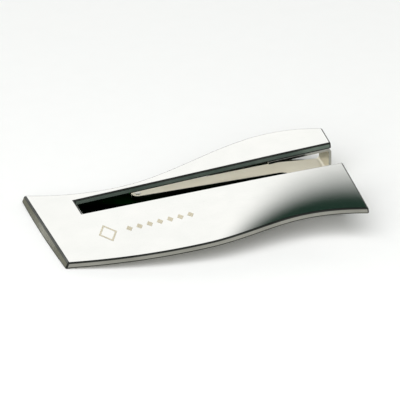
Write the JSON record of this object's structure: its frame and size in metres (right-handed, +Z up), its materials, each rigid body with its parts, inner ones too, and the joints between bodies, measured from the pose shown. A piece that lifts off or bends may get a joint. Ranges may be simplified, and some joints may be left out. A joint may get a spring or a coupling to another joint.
{
  "type": "money clip",
  "caption": "Slotted wavy face plate over a flat lower jaw, hinged at a folded spring strip so that folded notes slide in from the low end.",
  "frame": {"origin": "centre of the part's bounding box in X and Y, on the plane it rests on, clip at rest", "axes": "+X along the clip from the low entry end to the folded end, +Y from the wide front prong to the narrow back prong, +Z up out of the face"},
  "size_m": [0.0564, 0.0354, 0.007],
  "materials": {
    "polished_face": "mirror polish",
    "etched_mark": "matte etched fill",
    "satin_strip": "satin, warm nickel tone",
    "rivet_metal": "satin",
    "dark_jaw": "dark burnished, semi-gloss"
  },
  "bodies": {
    "jaw": {"spring_strap": "satin_strip", "jaw_plate": "dark_jaw", "jaw_rivets": "rivet_metal"},
    "face": {"face_plate": "polished_face", "mark_inlay": "etched_mark", "spring_bracket": "satin_strip", "bracket_rivets": "rivet_metal"}
  },
  "joints": [
    {"name": "fold_flex", "type": "hinge", "parent": "jaw", "child": "face", "pos_m": [0.0268, 0.01197, 0.0018], "axis": [0, 1, 0], "range_deg": [0, 10], "stiffness_Nm_per_rad": 0.6, "springref_deg": -9.74}
  ]
}
